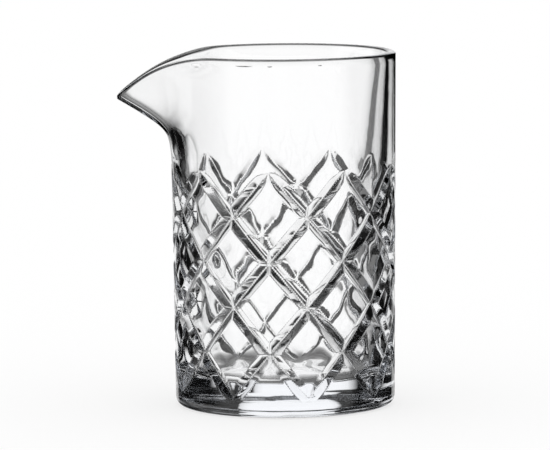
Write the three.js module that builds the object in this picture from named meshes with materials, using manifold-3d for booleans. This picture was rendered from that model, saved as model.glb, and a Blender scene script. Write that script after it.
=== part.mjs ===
// Cocktail mixing glass: one piece of clear pressed glass with a drawn-out pouring spout
// and a band of crossing V-grooves that leaves diamonds standing on the outer wall.
// Millimetres, +Z up. The origin is the centre of the flat base and the spout points along -X.

import * as THREE from 'three';
import { mergeVertices } from 'three/addons/utils/BufferGeometryUtils.js';
import Module from 'manifold-3d';

// Body
const height = 150; // base to the top of the rim
const rimRadius = 48; // outer radius at the rim
const baseRadius = 46.7; // outer radius at the base, before its corner is rounded
const rimWall = 3.6; // glass thickness at the rim
const floorWall = 8.5; // and where the floor's corner starts
const wallBow = 0.6; // how much thicker than halfway between these the wall is at mid height
const floorThickness = 13.2;
const footRounding = 3.5; // outer corner of the base
const floorRounding = 6; // inner corner between floor and wall

// Spout
const spoutLength = 22.4; // from the outer wall to the tip
const spoutDrop = 17; // from the rim down to the top of the tip
const lipCurve = 1.15; // power of the lip's fall: above 1 it falls late, close to the tip
const spoutTipRounding = 6; // plan radius of the tip
const spoutRootGap = 2; // from the top of the pattern to where the wall starts to lean out
const kneeHeight = 14.2; // from there up to the knee where the wall turns out, under the tip
const kneeBend = 5.3; // height that the knee's bend takes

// Cut pattern
const diamondsAround = 9;
const crossingRows = 6;
const topCrossing = 102.9; // height of the uppermost groove crossings
const bottomCrossing = 7.9; // height of the lowest ones
const grooveWidth = 6.3; // across a groove at the surface, away from its ends
const grooveDepth = 1.6;
const grooveRunOut = 10.6; // length over which a groove rises to the surface at each end

// Facets
const columnsPerDiamond = 6;
const roundingSteps = 4; // steps in each rounded corner of the section
const beadSteps = 6; // steps over the rounded rim
const spoutStations = [0, 0.2, 0.36, 0.5, 0.6, 0.72, 0.86, 1];
const innerSteps = 4; // steps down the inner face from the spout's root to the floor's corner
const runOutStations = [0, 0.2, 0.5]; // shares of a run-out's length
const cutterOvershoot = 1; // how far a groove cutter stands out of the wall
const normalStep = 1e-3; // step for the surface normal, in radians and in shares of height

const columns = diamondsAround * columnsPerDiamond;
const columnAngle = (2 * Math.PI) / columns;
const spoutRoot = topCrossing + spoutRootGap;

const smoothRamp = (x, softness) => (x + Math.hypot(x, softness)) / 2;
// Angles run round the axis from the spout's direction.
const pointAround = (radius, angle, z) =>
  new THREE.Vector3(-radius * Math.cos(angle), -radius * Math.sin(angle), z);
const outerRadius = (z) => baseRadius + ((rimRadius - baseRadius) * z) / height;

// The inner face is drawn in towards the floor, as the plunger that pressed it had to be.
const cornerLevel = floorThickness + floorRounding;
function wallThickness(z) {
  const down = (height - z) / (height - cornerLevel);
  return rimWall + (floorWall - rimWall) * down + 4 * wallBow * down * (1 - down);
}

// The spout's plan: two straight sides, tangent to the wall, that meet in a rounded tip.
// Returns the outward reach at an angle from the spout's direction, as a share of its length.
const spoutMiddleRadius = rimRadius - rimWall / 2;
const spoutTip = spoutMiddleRadius + spoutLength;
const tipAngle = Math.acos(spoutMiddleRadius / spoutTip);
const tipBlend = (Math.tan(tipAngle) * spoutTipRounding) / (spoutTip - spoutTipRounding);
function spoutShare(angle) {
  const aside = Math.atan2(Math.sin(angle), Math.cos(angle));
  const fromTangent = tipAngle + tipBlend - Math.hypot(aside, tipBlend);
  const reach = spoutMiddleRadius / Math.cos(Math.max(0, fromTangent)) - spoutMiddleRadius;
  return reach / spoutLength;
}

// The leaning wall's side view: upright up to the knee, then straight out to the lip.
// Stations are shares of the height from the spout's root to the lip.
const tipStandoff = height - rimWall / 2 - spoutDrop - spoutRoot;
function leanShare(station) {
  const ramp = (s) => smoothRamp(s - kneeHeight / tipStandoff, kneeBend / tipStandoff);
  return (ramp(station) - ramp(0)) / (ramp(1) - ramp(0));
}

const wallAt = (station) => wallThickness(spoutRoot + (height - spoutRoot) * station);

// The middle of the wall above the pattern, at an angle from the spout's direction
// and at a station from 0 at the spout's root to 1 at the lip.
function wallMiddle(angle, station) {
  const share = spoutShare(angle);
  const lip = height - rimWall / 2 - spoutDrop * share ** lipCurve;
  const z = spoutRoot + (lip - spoutRoot) * station;
  const radius = outerRadius(z) - wallAt(station) / 2 + spoutLength * share * leanShare(station);
  return pointAround(radius, angle, z);
}

// A point of the leaning wall or of its rim: turn 0 is the outer face, a half turn the inner one.
function wallPoint(angle, station, turn) {
  const middle = wallMiddle(angle, station);
  const along = wallMiddle(angle + normalStep, station).sub(wallMiddle(angle - normalStep, station));
  const up = wallMiddle(angle, station + normalStep).sub(wallMiddle(angle, station - normalStep));
  const outward = new THREE.Vector3().crossVectors(along, up).normalize();
  const half = wallAt(station) / 2;
  middle.addScaledVector(outward, half * Math.cos(turn));
  return middle.addScaledVector(up.normalize(), half * Math.sin(turn));
}

function ringOf(pointAt) {
  return Array.from({ length: columns }, (_, column) => pointAt(column * columnAngle));
}

function roundRing(radius, z) {
  return ringOf((angle) => pointAround(radius, angle, z));
}

// Rings of a quarter round, from one angle to another about its centre in the section.
function roundedCorner(centreRadius, centreZ, rounding, from, to) {
  return Array.from({ length: roundingSteps + 1 }, (_, step) => {
    const turn = from + ((to - from) * step) / roundingSteps;
    return roundRing(centreRadius + rounding * Math.cos(turn), centreZ + rounding * Math.sin(turn));
  });
}

function closedGeometry(points, triangles) {
  const geometry = new THREE.BufferGeometry();
  geometry.setAttribute('position', new THREE.Float32BufferAttribute(points.flatMap((p) => p.toArray()), 3));
  geometry.setIndex(triangles);
  return geometry;
}

// Skins a stack of rings of equal count, closed at each end by a fan.
// With the rings going anticlockwise seen from above and stacked upwards, the faces point out.
function skinRings(rings, firstCentre, lastCentre) {
  const count = rings[0].length;
  const points = [...rings.flat(), firstCentre, lastCentre];
  const last = (rings.length - 1) * count;
  const triangles = [];
  for (let i = 0; i < count; i += 1) {
    const next = (i + 1) % count;
    for (let ring = 0; ring < rings.length - 1; ring += 1) {
      const low = ring * count;
      const high = low + count;
      triangles.push(low + i, low + next, high + next, low + i, high + next, high + i);
    }
    triangles.push(points.length - 2, next, i);
    triangles.push(points.length - 1, last + i, last + next);
  }
  return closedGeometry(points, triangles);
}

// The glass before it is cut: up the outer face, over the rim and down the inner face to the floor.
function blankGeometry() {
  const foot = roundedCorner(baseRadius - footRounding, footRounding, footRounding, -Math.PI / 2, 0);
  const outer = spoutStations.map((station) => ringOf((angle) => wallPoint(angle, station, 0)));
  const bead = Array.from({ length: beadSteps - 1 }, (_, step) => {
    const turn = (Math.PI * (step + 1)) / beadSteps;
    return ringOf((angle) => wallPoint(angle, 1, turn));
  });
  const spoutInner = spoutStations.map((station) => ringOf((angle) => wallPoint(angle, station, Math.PI)));
  const inner = Array.from({ length: innerSteps - 1 }, (_, step) => {
    const z = spoutRoot + ((cornerLevel - spoutRoot) * (step + 1)) / innerSteps;
    return roundRing(outerRadius(z) - wallThickness(z), z);
  });
  const floorEdge = outerRadius(cornerLevel) - floorWall - floorRounding;
  const floorArc = roundedCorner(floorEdge, cornerLevel, floorRounding, 0, -Math.PI / 2);
  const rings = [...foot, ...outer, ...bead, ...spoutInner.reverse(), ...inner, ...floorArc];
  return skinRings(rings, new THREE.Vector3(0, 0, 0), new THREE.Vector3(0, 0, floorThickness));
}

// One groove cutter: a V carried along a helix from the top crossings to the bottom ones.
// Like a wheel's cut, it runs out to a point at each end, where two grooves of opposite hand meet.
// Hand is 1 or -1. Shares run along the groove from 0 to 1.
const rowHeight = (topCrossing - bottomCrossing) / (crossingRows - 1);
const rowAngle = Math.PI / diamondsAround;
const grooveAngle = rowAngle * (crossingRows - 1);
const middleRadius = outerRadius((topCrossing + bottomCrossing) / 2);
const grooveRise = Math.atan2(rowHeight, middleRadius * rowAngle);
const grooveLength = (topCrossing - bottomCrossing) / Math.sin(grooveRise);

function grooveSection(diamond, hand, share) {
  const angle = diamond * 2 * rowAngle + hand * share * grooveAngle;
  const z = topCrossing + (bottomCrossing - topCrossing) * share;
  const surface = outerRadius(z);
  const fromEnd = (Math.min(share, 1 - share) * grooveLength) / grooveRunOut;
  const depth = grooveDepth * (1 - Math.max(0, 1 - fromEnd) ** 2);
  const openingPerDepth = grooveWidth / 2 / grooveDepth / Math.cos(grooveRise);
  const spread = openingPerDepth * (depth + cutterOvershoot);
  const outside = surface + cutterOvershoot;
  const corners = [[outside, z + spread], [surface - depth, z], [outside, z - spread]];
  const section = corners.map(([radius, level]) => pointAround(radius, angle, level));
  return hand > 0 ? section.reverse() : section;
}

// The two hands have different counts of sections, so that no edges coincide where grooves cross.
function grooveGeometry(diamond, hand) {
  const runOut = grooveRunOut / grooveLength;
  const steps = Math.round(grooveAngle / columnAngle) - (hand > 0 ? 2 : 1);
  const start = runOutStations.map((station) => station * runOut);
  const middle = Array.from({ length: steps + 1 }, (_, step) => runOut + ((1 - 2 * runOut) * step) / steps);
  const end = start.map((share) => 1 - share).reverse();
  const sections = [...start, ...middle, ...end].map((share) => grooveSection(diamond, hand, share));
  const centre = (section) => section[0].clone().add(section[1]).add(section[2]).divideScalar(3);
  return skinRings(sections, centre(sections[0]), centre(sections.at(-1)));
}

const wasm = await Module();
wasm.setup();

function toSolid(geometry) {
  const merged = mergeVertices(geometry);
  return new wasm.Manifold(new wasm.Mesh({
    numProp: 3,
    vertProperties: new Float32Array(merged.attributes.position.array),
    triVerts: new Uint32Array(merged.index.array),
  }));
}

function toGeometry(solid) {
  const mesh = solid.getMesh();
  const geometry = new THREE.BufferGeometry();
  geometry.setAttribute('position', new THREE.BufferAttribute(mesh.vertProperties, 3));
  geometry.setIndex(new THREE.BufferAttribute(mesh.triVerts, 1));
  geometry.computeVertexNormals();
  return geometry;
}

function cutGlass() {
  const cutters = [];
  for (let diamond = 0; diamond < diamondsAround; diamond += 1) {
    cutters.push(toSolid(grooveGeometry(diamond, 1)), toSolid(grooveGeometry(diamond, -1)));
  }
  const pattern = cutters.reduce((sum, cutter) => sum.add(cutter));
  return toGeometry(toSolid(blankGeometry()).subtract(pattern));
}

const clearGlass = new THREE.MeshStandardMaterial({
  color: 0xf2f6f6,
  roughness: 0.04,
  metalness: 0,
  transparent: true,
  opacity: 0.35,
});

const glass = new THREE.Mesh(cutGlass(), clearGlass);
glass.name = 'mixing_glass';

const object = new THREE.Group();
object.add(glass);

export default object;
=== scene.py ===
# Cocktail mixing glass: one clear pressed piece with a drawn-out spout and a band of cut diamonds.
# Metres, +Z up. The spout points along -X, and angles run round the axis from the spout's direction.
import math

import bpy
import numpy as np
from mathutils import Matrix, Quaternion, Vector


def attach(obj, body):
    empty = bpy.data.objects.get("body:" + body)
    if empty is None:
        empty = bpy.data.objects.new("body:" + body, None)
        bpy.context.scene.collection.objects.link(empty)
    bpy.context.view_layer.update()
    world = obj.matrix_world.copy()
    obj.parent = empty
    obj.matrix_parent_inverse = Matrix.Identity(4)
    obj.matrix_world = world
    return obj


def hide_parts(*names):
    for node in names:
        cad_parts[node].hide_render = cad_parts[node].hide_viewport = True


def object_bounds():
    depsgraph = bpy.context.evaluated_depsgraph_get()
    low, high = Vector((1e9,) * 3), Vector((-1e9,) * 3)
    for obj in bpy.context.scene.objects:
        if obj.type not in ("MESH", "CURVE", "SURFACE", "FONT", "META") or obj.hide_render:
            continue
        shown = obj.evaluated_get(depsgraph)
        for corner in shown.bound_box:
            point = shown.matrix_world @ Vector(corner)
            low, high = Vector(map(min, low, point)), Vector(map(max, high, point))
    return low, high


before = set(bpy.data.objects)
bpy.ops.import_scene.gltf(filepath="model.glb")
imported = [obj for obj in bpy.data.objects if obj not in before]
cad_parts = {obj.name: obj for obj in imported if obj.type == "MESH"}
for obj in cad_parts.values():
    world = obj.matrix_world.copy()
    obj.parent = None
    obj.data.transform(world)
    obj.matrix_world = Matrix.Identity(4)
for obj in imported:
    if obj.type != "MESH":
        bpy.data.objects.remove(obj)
cadLow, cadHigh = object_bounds()
print("frame loaded:", [round(v, 4) for v in (*cadLow, *cadHigh)])


# Camera

photoView = {
    "turn": -2.167,  # degrees round the glass from straight in front
    "roll": -0.479,  # degrees
    "away": 2.0,  # from the axis, level
    "height": 0.3002,
    "aim": (-0.0038, 0.0001, 0.0761),
    "lens": 310.5,  # mm
    "sensor": 36.0,  # mm wide
    "farClip": 200.0,
}


def addCamera(view):  # on a circle round the axis, turned to its aim and then rolled
    data = bpy.data.cameras.new("photoCamera")
    data.lens = view["lens"]
    data.sensor_width = view["sensor"]
    data.clip_end = view["farClip"]
    camera = bpy.data.objects.new("photoCamera", data)
    bpy.context.collection.objects.link(camera)
    turn = math.radians(view["turn"])
    place = Vector((view["away"] * math.sin(turn), -view["away"] * math.cos(turn), view["height"]))
    look = (Vector(view["aim"]) - place).to_track_quat("-Z", "Y")
    camera.rotation_mode = "QUATERNION"
    camera.location = place
    camera.rotation_quaternion = look @ Quaternion((0, 0, 1), math.radians(view["roll"]))
    bpy.context.scene.camera = camera
    return camera


camera = addCamera(photoView)
print("camera placed")


# Glass surface

glass = {
    "height": cadHigh.z,
    "rimRadius": cadHigh.y,  # outer, at the rim
    "baseTaper": 0.0013,  # how much less it is at the base, before the foot is rounded
    "rimWall": 0.0036,
    "rimCrown": 0.6,  # height of the rim's rounding, as a share of half the wall
    "floorWall": 0.0085,  # where the floor's rounding starts
    "wallBow": 0.0006,  # how much thicker than halfway between these the wall is at mid height
    "floor": 0.0132,
    "footRounding": 0.0035,
    "floorRounding": 0.006,
    "spoutLength": 0.023,  # from the outer wall to the tip
    "spoutDrop": 0.017,  # from the rim down to the top of the tip
    "lipCurve": 1.27,  # above 1 the lip falls late, close to the tip
    "lipSlant": 0.04,  # radians by which the near side of the lip falls later than the far side
    "tipRounding": 0.006,  # in plan
    "lipSwells": (  # inside the lip beside the spout: angle, width and thickness
        (-0.6, 0.24, 0.0032),
        (0.6, 0.2, 0.0012),
    ),
    "swellReach": 0.09,  # below the lip, as a share of the height above the root
    "lipStations": (0.89, 0.911, 0.955, 0.972, 0.988),  # rows more on the inside of the lip
    "rootGap": 0.002,  # from the pattern's top up to where the wall starts to lean
    "kneeHeight": 0.0142,  # from there up to where the wall turns out
    "kneeBend": 0.0053,
    "diamonds": 9,  # round the wall
    "crossingRows": 6,
    "topCrossing": 0.1029,
    "bottomCrossing": 0.0079,
    "grooveWidth": 0.0063,
    "grooveDepth": 0.0016,
    "grooveSag": 0.7,  # how much steeper the facets get towards the bottom
    "runOut": 0.0106,  # length over which a groove rises to the surface at its ends
    "runOutCurve": 2.8,  # above 2 the ends are blunter
    "printDepth": 0.00022,  # how far the inner face swells under the grooves
    "printReach": 0.006,
    "waves": (  # on the inner face: waves round it, radians per metre up, start and height
        (5, 61, 0.3, 45e-6),
        (8, -97, 1.9, 40e-6),
        (13, 210, 4.4, 95e-6),
        (17, -290, 0.8, 65e-6),
        (27, 430, 2.6, 24e-6),
    ),
    "columnsPerDiamond": 48,  # mesh cells, also over one diamond's height
    "crowdCells": (0, 1, 2, 3, 4, 5, 6, 7, 8, 9, 10, 24),  # cells off a groove's bottom
    "crowdPlaces": (0, 0.4, 1.4, 2.7, 4.1, 5.5, 6, 6.5, 7.8, 9, 10, 24),  # and where they go
    "crowdEase": 3,  # rows over which that stops at the band's edges
    "bandGap": 0.3,  # least gap from the band's rows to the foot and the spout's root, in cells
    "spoutRows": 16,
    "beadRows": 9,
    "innerRows": 42,
    "cornerRows": 6,
    "normalStep": 1e-4,  # for slopes, in radians and in shares of height
}
baseRadius = glass["rimRadius"] - glass["baseTaper"]
spoutRoot = glass["topCrossing"] + glass["rootGap"]
columns = glass["diamonds"] * glass["columnsPerDiamond"]
columnAngle = 2 * math.pi / columns
angles = np.arange(columns) * columnAngle


def aroundAxis(radius, angle, z):  # radius, angle from the spout and height, as x, y and z
    parts = np.broadcast_arrays(-radius * np.cos(angle), -radius * np.sin(angle), z)
    return np.stack(parts, axis=-1)


def outerRadius(z):  # grows evenly from the base's radius to the rim's
    return baseRadius + glass["baseTaper"] * z / glass["height"]


def softRamp(x, softness):  # half of x plus its hypotenuse with the softness: 0 below, x above
    return (x + np.hypot(x, softness)) / 2


def spoutShare(angle):  # two straight sides, tangent to the wall, that meet in a rounded tip
    middle = glass["rimRadius"] - glass["rimWall"] / 2
    tip = middle + glass["spoutLength"]
    tipAngle = math.acos(middle / tip)
    blend = math.tan(tipAngle) * glass["tipRounding"] / (tip - glass["tipRounding"])
    aside = np.arctan2(np.sin(angle), np.cos(angle))
    fromTangent = tipAngle + blend - np.hypot(aside, blend)
    return (middle / np.cos(np.maximum(fromTangent, 0)) - middle) / glass["spoutLength"]


def leanShare(rise, top):  # upright up to the knee, then straight out to the lip at the top
    knee, bend = glass["kneeHeight"], glass["kneeBend"]
    low = softRamp(-knee, bend)
    return (softRamp(rise - knee, bend) - low) / (softRamp(top - knee, bend) - low)


def wallThickness(z):  # grows from the rim down to the floor's rounding, plus a parabola between
    down = (glass["height"] - z) / (glass["height"] - glass["floor"] - glass["floorRounding"])
    even = glass["rimWall"] + (glass["floorWall"] - glass["rimWall"]) * down
    return even + 4 * glass["wallBow"] * down * (1 - down)


def lipSwell(angle, station):  # bells round the axis, times a bell down from the lip
    aside = np.arctan2(np.sin(angle), np.cos(angle))
    swell = 0
    for place, width, thickness in glass["lipSwells"]:
        swell = swell + thickness * np.exp(-(((aside - place) / width) ** 2))
    return swell * np.exp(-(((1 - station) / glass["swellReach"]) ** 2))


def wallAt(angle, station):  # the thickness from the spout's root up to the lip, plus the swells
    even = wallThickness(spoutRoot + (glass["height"] - spoutRoot) * station)
    return even + lipSwell(angle, station)


def wallMiddle(angle, station):  # halfway through the wall, from the spout's root up to the lip
    share = spoutShare(angle)
    fall = spoutShare(angle + glass["lipSlant"] * (1 - share)) ** glass["lipCurve"]
    crown = glass["rimCrown"] * wallAt(angle, 1) / 2
    top = glass["height"] - crown - glass["spoutDrop"] * fall - spoutRoot
    out = glass["spoutLength"] * share * leanShare(top * station, top)
    z = spoutRoot + top * station
    return aroundAxis(outerRadius(z) - wallAt(angle, station) / 2 + out, angle, z)


def wallPoint(angle, station, turn):  # the middle plus half the wall along its normal and upwards
    step = glass["normalStep"]
    along = wallMiddle(angle + step, station) - wallMiddle(angle - step, station)
    up = wallMiddle(angle, station + step) - wallMiddle(angle, station - step)
    outward = np.cross(along, up)
    outward /= np.linalg.norm(outward, axis=-1, keepdims=True)
    up /= np.linalg.norm(up, axis=-1, keepdims=True)
    half = (wallAt(angle, station) / 2)[..., None]
    turn = np.asarray(turn)[..., None]
    crown = glass["rimCrown"] * np.sin(turn)
    return wallMiddle(angle, station) + half * (outward * np.cos(turn) + up * crown)


rowHeight = (glass["topCrossing"] - glass["bottomCrossing"]) / (glass["crossingRows"] - 1)
rowAngle = math.pi / glass["diamonds"]
grooveRadius = outerRadius((glass["topCrossing"] + glass["bottomCrossing"]) / 2)
grooveRise = math.atan2(rowHeight, grooveRadius * rowAngle)
grooveLength = (glass["topCrossing"] - glass["bottomCrossing"]) / math.sin(grooveRise)


def alongGroove(hand, angle, z):  # distance off one hand's nearest helix, and from its nearer end
    aside = hand * angle - (glass["topCrossing"] - z) / rowHeight * rowAngle
    aside = (aside + rowAngle) % (2 * rowAngle) - rowAngle
    fromTop = (glass["topCrossing"] - z) / math.sin(grooveRise)
    fromTop = fromTop + grooveRadius * aside * math.cos(grooveRise)
    return grooveRadius * aside * math.sin(grooveRise), np.minimum(fromTop, grooveLength - fromTop)


def grooveCut(angle, z):  # the deeper of the two hands' V-cuts, each a slope down to its helix
    sag = glass["grooveSag"]
    cut = np.zeros(np.broadcast_shapes(np.shape(angle), np.shape(z)))
    for hand in (1, -1):
        aside, fromEnd = alongGroove(hand, angle, z)
        share = 1 - np.clip(1 - fromEnd / glass["runOut"], 0, 1) ** glass["runOutCurve"]
        down = np.maximum(share - np.abs(aside) / (glass["grooveWidth"] / 2), 0)
        depth = glass["grooveDepth"] * down * (1 + sag * down) / (1 + sag)
        cut = np.maximum(cut, np.where(fromEnd > 0, depth, 0))
    return cut


def innerSwell(angle, z):  # bells behind the grooves, plus slow sine waves round and up the wall
    swell = np.zeros(np.broadcast_shapes(np.shape(angle), np.shape(z)))
    for hand in (1, -1):
        aside, fromEnd = alongGroove(hand, angle, z)
        bell = np.exp(-((aside / glass["printReach"]) ** 2))
        swell = swell + bell * np.clip(fromEnd / glass["runOut"] + 0.5, 0, 1)
    swell = glass["printDepth"] * swell
    for around, upward, start, depth in glass["waves"]:
        swell = swell + depth * np.sin(around * angle + upward * z + start)
    fade = np.clip((spoutRoot - z) / (2 * glass["printReach"]), 0, 1)
    return swell * fade * fade * (3 - 2 * fade)


def crowdCells(column, row):  # moves cells towards the bottoms and edges of both hands' grooves
    period = glass["columnsPerDiamond"]
    fromEdge = np.minimum(row.max() - row, row - row.min())
    free = np.clip(fromEdge / glass["crowdEase"], 0, 1)
    moved = []
    for cell in (column - row, column + row):
        near = (cell + period / 2) % period - period / 2
        place = np.interp(np.abs(near), glass["crowdCells"], glass["crowdPlaces"])
        moved.append(cell + free * (np.sign(near) * place - near))
    return (moved[0] + moved[1]) / 2, (moved[1] - moved[0]) / 2


def cornerRings(radius, z, rounding, start, end):  # a quarter round turned about the axis
    turn = np.linspace(start, end, glass["cornerRows"])[:, None]
    return aroundAxis(radius + rounding * np.cos(turn), angles, z + rounding * np.sin(turn))


def discRings(outer, z):  # two rings inside a flat disc's edge
    return aroundAxis(outer * np.array([[1 / 3], [2 / 3]]), angles, z)


def skinRings(rings, lowCentre, highCentre, shift):
    # joins each ring to the next with diagonals that alternate, and closes both ends with fans
    count = len(rings)
    row, column = np.meshgrid(np.arange(count - 1), np.arange(columns), indexing="ij")
    beside = (column + 1) % columns
    a, b = row * columns + column, row * columns + beside
    c, d = b + columns, a + columns
    main = ((row + column + shift) % 2 == 0)[..., None, None]
    split = np.stack((np.stack((a, b, c), -1), np.stack((a, c, d), -1)), -2)
    other = np.stack((np.stack((a, b, d), -1), np.stack((b, c, d), -1)), -2)
    around = np.arange(columns)
    ahead = (around + 1) % columns
    low = np.stack((np.full(columns, count * columns), ahead, around), -1)
    top = (count - 1) * columns
    high = np.stack((np.full(columns, count * columns + 1), top + around, top + ahead), -1)
    triangles = np.concatenate((np.where(main, split, other).reshape(-1, 3), low, high))
    points = np.concatenate((rings.reshape(-1, 3), [lowCentre], [highCentre]))
    return points, triangles


def glassRings():
    # up the outer face, over the rim and down the inner face to the floor
    foot = glass["footRounding"]
    footRings = cornerRings(baseRadius - foot, foot, foot, -math.pi / 2, 0)
    under = discRings(baseRadius - foot, 0)
    cell = 2 * rowHeight / glass["columnsPerDiamond"]
    below = math.floor((glass["topCrossing"] - foot) / cell - glass["bandGap"])
    above = math.floor(glass["rootGap"] / cell - glass["bandGap"])
    column, row = crowdCells(np.arange(columns), np.arange(-below, above + 1)[:, None])
    angle, z = column * columnAngle, glass["topCrossing"] + row * cell
    outer = aroundAxis(outerRadius(z) - grooveCut(angle, z), angle, z)
    station = np.linspace(0, 1, glass["spoutRows"])[:, None]
    leanOut = wallPoint(angles, station, np.zeros_like(station))
    turn = np.linspace(0, math.pi, glass["beadRows"] + 2)[1:-1, None]
    bead = wallPoint(angles, np.ones_like(turn), turn)
    station = np.sort(np.append(station, glass["lipStations"]))[::-1, None]
    leanIn = wallPoint(angles, station, np.full_like(station, math.pi))
    floorZ = glass["floor"] + glass["floorRounding"]
    innerZ = np.linspace(spoutRoot, floorZ, glass["innerRows"])[1:-1, None]
    innerRadius = outerRadius(innerZ) - wallThickness(innerZ) - innerSwell(angles, innerZ)
    inner = aroundAxis(innerRadius, angles, innerZ)
    floorEdge = outerRadius(floorZ) - glass["floorWall"] - glass["floorRounding"]
    floorRings = cornerRings(floorEdge, floorZ, glass["floorRounding"], 0, -math.pi / 2)
    floor = discRings(floorEdge, glass["floor"])[::-1]
    shift = len(under) + len(footRings) + below
    outside = (under, footRings, outer, leanOut, bead)
    inside = (leanIn, inner, floorRings, floor)
    return np.concatenate(outside + inside), shift


def meshPiece(name, points, triangles, material):  # a smooth object at the origin
    mesh = bpy.data.meshes.new(name)
    mesh.vertices.add(len(points))
    mesh.vertices.foreach_set("co", points.ravel())
    mesh.loops.add(triangles.size)
    mesh.loops.foreach_set("vertex_index", triangles.ravel())
    mesh.polygons.add(len(triangles))
    mesh.polygons.foreach_set("loop_start", np.arange(0, triangles.size, 3))
    mesh.update(calc_edges=True)
    mesh.shade_smooth()
    mesh.materials.append(material)
    piece = bpy.data.objects.new(name, mesh)
    bpy.context.collection.objects.link(piece)
    return piece


# Glass material

clearGlass = {
    "colour": (1, 1, 1, 1),
    "roughness": 0.0,
    "index": 1.52,
    "tint": (0.72, 0.82, 1.0, 1),  # what the depth of the glass lets through
    "tintDensity": 2.0,  # per metre
    "rippleSize": 110.0,  # per metre
    "rippleDetail": 1.5,
    "rippleHeight": 1.0e-4,
    "rippleTop": (0.098, 0.112, 0.2),  # above the pattern it calms down to this share
    "marks": (  # polishing dents under the rim: angle, station, half length and half height
        (0.70, 0.962, 0.0034, 0.0011),
        (1.19, 0.968, 0.0050, 0.0006),
        (1.42, 0.963, 0.0012, 0.0004),
        (1.86, 0.966, 0.0009, 0.0003),
    ),
    "markReach": 0.0025,  # into the wall
    "markDepth": 4.5,  # in ripple heights
}


def polishDent(group, place, mark, look):  # an oval on the outer face, eased down to its middle
    angle, station, halfLength, halfHeight = mark
    middle = wallPoint(np.array([angle]), np.array([station]), np.zeros(1))[0]
    local = group.nodes.new("ShaderNodeMapping")
    local.vector_type = "TEXTURE"
    local.inputs["Location"].default_value = middle.tolist()
    local.inputs["Rotation"].default_value = (0, 0, angle + math.pi / 2)
    local.inputs["Scale"].default_value = (halfLength, look["markReach"], halfHeight)
    away = group.nodes.new("ShaderNodeVectorMath")
    away.operation = "LENGTH"
    dent = group.nodes.new("ShaderNodeMapRange")
    dent.interpolation_type = "SMOOTHSTEP"
    dent.inputs["To Min"].default_value = look["markDepth"]
    dent.inputs["To Max"].default_value = 0
    group.links.new(place, local.inputs["Vector"])
    group.links.new(local.outputs["Vector"], away.inputs[0])
    group.links.new(away.outputs["Value"], dent.inputs["Value"])
    return dent.outputs["Result"]


def mouldRipple(look):  # a normal from noise, calmer above the pattern, less the polishing dents
    group = bpy.data.node_groups.new("mouldRipple", "ShaderNodeTree")
    group.interface.new_socket("Normal", in_out="OUTPUT", socket_type="NodeSocketVector")
    nodes = group.nodes
    links = group.links
    place = nodes.new("ShaderNodeTexCoord")
    noise = nodes.new("ShaderNodeTexNoise")
    noise.inputs["Scale"].default_value = look["rippleSize"]
    noise.inputs["Detail"].default_value = look["rippleDetail"]
    split = nodes.new("ShaderNodeSeparateXYZ")
    calm = nodes.new("ShaderNodeMapRange")
    low, high, share = look["rippleTop"]
    calm.inputs["From Min"].default_value = low
    calm.inputs["From Max"].default_value = high
    calm.inputs["To Min"].default_value = 1
    calm.inputs["To Max"].default_value = share
    scaled = nodes.new("ShaderNodeMath")
    scaled.operation = "MULTIPLY"
    height = scaled.outputs["Value"]
    for mark in look["marks"]:
        dent = polishDent(group, place.outputs["Object"], mark, look)
        lower = nodes.new("ShaderNodeMath")
        lower.operation = "SUBTRACT"
        links.new(height, lower.inputs[0])
        links.new(dent, lower.inputs[1])
        height = lower.outputs["Value"]
    bump = nodes.new("ShaderNodeBump")
    bump.inputs["Distance"].default_value = look["rippleHeight"]
    out = nodes.new("NodeGroupOutput")
    links.new(place.outputs["Object"], noise.inputs["Vector"])
    links.new(place.outputs["Object"], split.inputs["Vector"])
    links.new(split.outputs["Z"], calm.inputs["Value"])
    links.new(noise.outputs["Fac"], scaled.inputs[0])
    links.new(calm.outputs["Result"], scaled.inputs[1])
    links.new(height, bump.inputs["Height"])
    links.new(bump.outputs["Normal"], out.inputs["Normal"])
    return group


def glassMaterial(look):  # clear all through, with the tint in its volume and the ripple as normal
    material = bpy.data.materials.new("clearPressedGlass")
    material.use_nodes = True
    nodes = material.node_tree.nodes
    links = material.node_tree.links
    shader = nodes["Principled BSDF"]
    shader.inputs["Base Color"].default_value = look["colour"]
    shader.inputs["Roughness"].default_value = look["roughness"]
    shader.inputs["IOR"].default_value = look["index"]
    shader.inputs["Transmission Weight"].default_value = 1
    ripple = nodes.new("ShaderNodeGroup")
    ripple.node_tree = mouldRipple(look)
    links.new(ripple.outputs["Normal"], shader.inputs["Normal"])
    inside = nodes.new("ShaderNodeVolumeAbsorption")
    inside.inputs["Color"].default_value = look["tint"]
    inside.inputs["Density"].default_value = look["tintDensity"]
    links.new(inside.outputs["Volume"], nodes["Material Output"].inputs["Volume"])
    return material


rings, shift = glassRings()
points, triangles = skinRings(rings, (0, 0, 0), (0, 0, glass["floor"]), shift)
glassPiece = meshPiece("cut_glass_body", points, triangles, glassMaterial(clearGlass))
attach(glassPiece, "root")
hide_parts("mixing_glass")
print("glass surface:", len(triangles), "triangles")


# Studio

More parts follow.
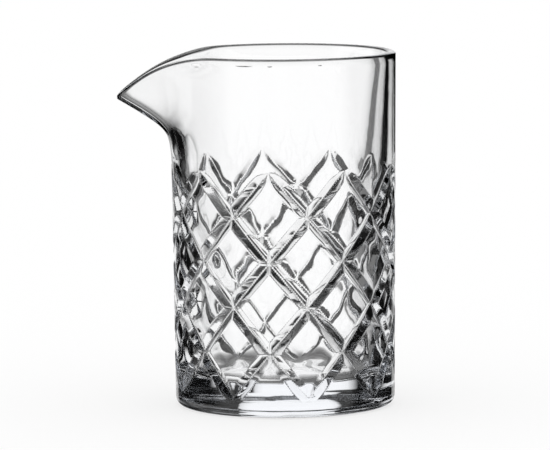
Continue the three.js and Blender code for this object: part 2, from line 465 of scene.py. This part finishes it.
studio = {
    "floorReach": 60.0,
    "floorGap": 0.0002,  # air under the base
    "floorWhite": 0.3,
    "floorGlow": 0.7,
    "bounces": 12,
}
tent = {  # a dark cloth round the glass: degrees off the line of sight, and brightness
    "radius": 8.0,
    "away": 2.0,  # from the camera
    "asideGrid": (40.0, 0.25, 180.0, 4.0),  # fine up to, step, coarse up to, step
    "upGrid": (45.0, 0.5, 90.0, 3.0),
    "tilt": 6.4,  # by which the camera looks down, as the cards stand level
    "panelPlaces": (-14.0, -12.5, -11.0, 8.0, 9.5, 10.8, 11.4),  # white backdrop, left to right
    "panelLevels": (0.0, 0.85, 1.0, 1.0, 0.9, 0.7, 0.0),
    "panelHeights": (-40, -30, -20, -14.5, -10, -7, 56, 64),  # fading into the table, and far up
    "panelFoot": (0.05, 0.1, 0.3, 0.6, 0.95, 1.0, 1.0, 0.85),
    "wideHeights": (6, 13, 25, 50),  # widening upwards
    "wideShares": (1.0, 1.6, 1.65, 2.2),
    "leftPlaces": (-30, -27, -24, -20, -14, -13),  # narrow cards beside the backdrop
    "leftLevels": (0.0, 0.5, 0.9, 1.0, 1.0, 0.5),
    "leftReach": (-8.0, 4.0, 8.0),  # middle height, and where a card starts and stops fading
    "rightPlaces": (11, 14.5, 16, 24, 28.5, 32),
    "rightLevels": (0.2, 0.2, 0.85, 0.9, 0.6, 0.0),
    "rightReach": (-11.0, 2.5, 5.0),
    "sidePlaces": (-130, -115, -58, -48, 52, 62, 95, 115),  # a white card left, a grey one right
    "sideLevels": (0.0, 1.0, 1.0, 0.0, 0.0, 0.2, 0.2, 0.0),
    "sideReach": (1.2, 6.8, 8.2),
    "lowPlaces": (-130, -115, -58, -48),  # the table in front of the left card
    "lowLevels": (0.0, 1.0, 1.0, 0.0),
    "lowReach": (-20.6, 8.2, 9.8),
    "front": (95.0, 115.0),  # white behind the camera: where it starts and is full
    "frontHeights": (-27, -22, -6, -2, 3),
    "frontLevels": (0.1, 1.0, 1.0, 0.45, 0.0),
    "tablePlaces": (-180, -130, -80, -50, -20, 180),  # far down
    "tableLevels": (0.12, 0.7, 1.0, 0.5, 0.12, 0.12),
    "tableTop": (-24.0, -42.0),
    "ceiling": (62.0, 74.0, 0.7),  # far up: where it starts and is full, and its level
    "dark": 0.004,
}


def addFloor(look):  # a flat square just under the base, that glass and gloss don't see
    reach = look["floorReach"]
    mesh = bpy.data.meshes.new("studioFloor")
    corners = [(-reach, -reach), (reach, -reach), (reach, reach), (-reach, reach)]
    mesh.from_pydata([(x, y, -look["floorGap"]) for x, y in corners], [], [(0, 1, 2, 3)])
    material = bpy.data.materials.new("paleFloor")
    material.use_nodes = True
    shader = material.node_tree.nodes["Principled BSDF"]
    shader.inputs["Base Color"].default_value = (look["floorWhite"],) * 3 + (1,)
    shader.inputs["Roughness"].default_value = 1
    shader.inputs["Specular IOR Level"].default_value = 0
    shader.inputs["Emission Color"].default_value = (1, 1, 1, 1)
    shader.inputs["Emission Strength"].default_value = look["floorGlow"]
    mesh.materials.append(material)
    floor = bpy.data.objects.new("studioFloor", mesh)
    bpy.context.collection.objects.link(floor)
    floor.visible_transmission = False
    floor.visible_glossy = False


def smoothStep(start, end, x):  # 0 before the start, 1 past the end, eased between
    t = np.clip((x - start) / (end - start), 0, 1)
    return t * t * (3 - 2 * t)


def cardGlow(aside, up, name):  # levels from left to right, fading off the middle height
    level = up - tent["tilt"] * np.cos(np.radians(aside))
    middle, low, high = tent[name + "Reach"]
    across = np.interp(aside, tent[name + "Places"], tent[name + "Levels"], left=0, right=0)
    return across * (1 - smoothStep(low, high, np.abs(level - middle)))


def tentGlow(aside, up):  # the brightest of backdrop, cards, front, table, ceiling and dark cloth
    aside, up = np.broadcast_arrays(aside, up)
    narrowed = aside / np.interp(up, tent["wideHeights"], tent["wideShares"])
    panel = np.interp(narrowed, tent["panelPlaces"], tent["panelLevels"], left=0, right=0)
    panel = panel * np.interp(up, tent["panelHeights"], tent["panelFoot"])
    cards = [cardGlow(aside, up, name) for name in ("left", "right", "side", "low")]
    front = np.interp(up, tent["frontHeights"], tent["frontLevels"])
    front = front * smoothStep(*tent["front"], np.abs(aside))
    table = np.interp(aside, tent["tablePlaces"], tent["tableLevels"])
    table = table * smoothStep(*tent["tableTop"], up)
    low, high, level = tent["ceiling"]
    ceiling = level * smoothStep(low, high, up)
    brightest = np.maximum.reduce([panel, *cards, front, table, ceiling])
    return np.maximum(brightest, tent["dark"])


def gridAngles(fineReach, fineStep, reach, step):  # even fine steps, with coarse ones on both sides
    fine = np.arange(-fineReach, fineReach + fineStep / 2, fineStep)
    coarse = np.arange(fineReach + step, reach + step / 2, step)
    return np.concatenate((-coarse[::-1], fine, coarse))


def addTent(camera):  # a sphere of angles aside and up, carried by the camera, that glows by attribute
    aside = gridAngles(*tent["asideGrid"])[None, :]
    up = gridAngles(*tent["upGrid"])[:, None]
    glow = tentGlow(aside, up)
    h, v = np.radians(aside), np.radians(up)
    parts = np.broadcast_arrays(np.sin(h) * np.cos(v), np.sin(v), -np.cos(h) * np.cos(v))
    points = tent["radius"] * np.stack(parts, axis=-1)
    rows, count = glow.shape
    index = np.arange(rows * count).reshape(rows, count)
    corners = (index[:-1, :-1], index[:-1, 1:], index[1:, 1:], index[1:, :-1])
    quads = np.stack(corners, axis=-1).reshape(-1, 4)
    mesh = bpy.data.meshes.new("lightTent")
    mesh.from_pydata(points.reshape(-1, 3).tolist(), [], quads.tolist())
    attribute = mesh.attributes.new("glow", "FLOAT", "POINT")
    attribute.data.foreach_set("value", glow.astype(np.float32).ravel())
    material = bpy.data.materials.new("tentCloth")
    material.use_nodes = True
    nodes = material.node_tree.nodes
    nodes.remove(nodes["Principled BSDF"])
    read = nodes.new("ShaderNodeAttribute")
    read.attribute_name = "glow"
    glowing = nodes.new("ShaderNodeEmission")
    links = material.node_tree.links
    links.new(read.outputs["Fac"], glowing.inputs["Strength"])
    links.new(glowing.outputs["Emission"], nodes["Material Output"].inputs["Surface"])
    mesh.materials.append(material)
    cloth = bpy.data.objects.new("lightTent", mesh)
    bpy.context.collection.objects.link(cloth)
    cloth.parent = camera
    cloth.location = (0, 0, -tent["away"])
    cloth.visible_camera = False
    cloth.visible_diffuse = False
    cloth.visible_shadow = False
    cloth.visible_volume_scatter = False


def lightWorld():  # even white, at strength 1
    world = bpy.data.worlds.new("studioLight")
    world.use_nodes = True
    bpy.context.scene.world = world
    background = world.node_tree.nodes["Background"]
    background.inputs["Color"].default_value = (1, 1, 1, 1)
    background.inputs["Strength"].default_value = 1


addFloor(studio)
addTent(camera)
lightWorld()
scene = bpy.context.scene
scene.view_settings.view_transform = "Standard"
scene.cycles.max_bounces = studio["bounces"]
scene.cycles.transmission_bounces = studio["bounces"]
scene.cycles.glossy_bounces = studio["bounces"]
print("studio lit")
